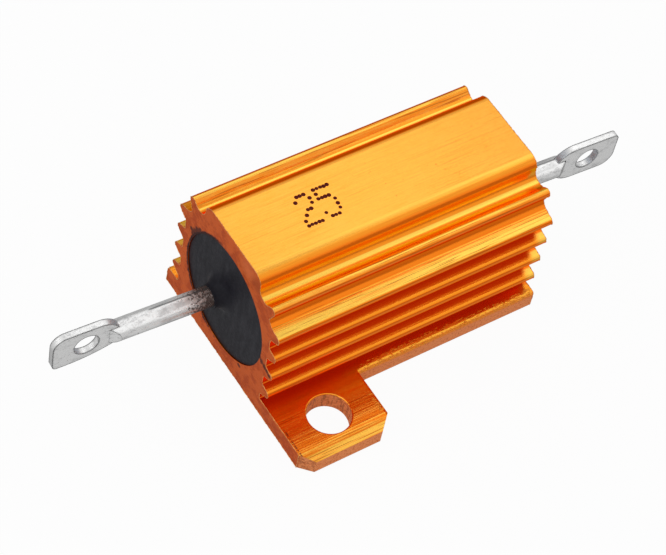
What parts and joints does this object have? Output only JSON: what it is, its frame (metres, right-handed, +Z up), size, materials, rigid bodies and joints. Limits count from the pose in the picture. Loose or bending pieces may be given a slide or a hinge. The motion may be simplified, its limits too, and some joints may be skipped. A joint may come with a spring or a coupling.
{
  "type": "aluminium housed power resistor",
  "caption": "Wirewound power resistor in a finned gold anodised aluminium housing, with mounting ears on opposite corners and a solder lug at each end.",
  "frame": {"origin": "on the mounting face, midway between the two mounting holes", "axes": "+X along the housing towards the shorter terminal, +Z up from the mounting face, the left ear towards -Y"},
  "size_m": [0.0555, 0.0286, 0.0156],
  "materials": {
    "anodised": "gold anodised extrusion, satin, with fine lines along its length",
    "compound": "matt black moulding compound",
    "core": "unglazed, off-white",
    "cap": "plain pressed steel",
    "wire": "dull resistance alloy",
    "tinned": "tinned, dull silver with faint mottling"
  },
  "bodies": {
    "root": {"housing": "anodised", "encapsulant": "compound", "ceramic_core": "core", "end_cap_left": "cap", "end_cap_right": "cap", "resistance_wire": "wire", "terminal_left": "tinned", "terminal_right": "tinned"}
  },
  "joints": []
}
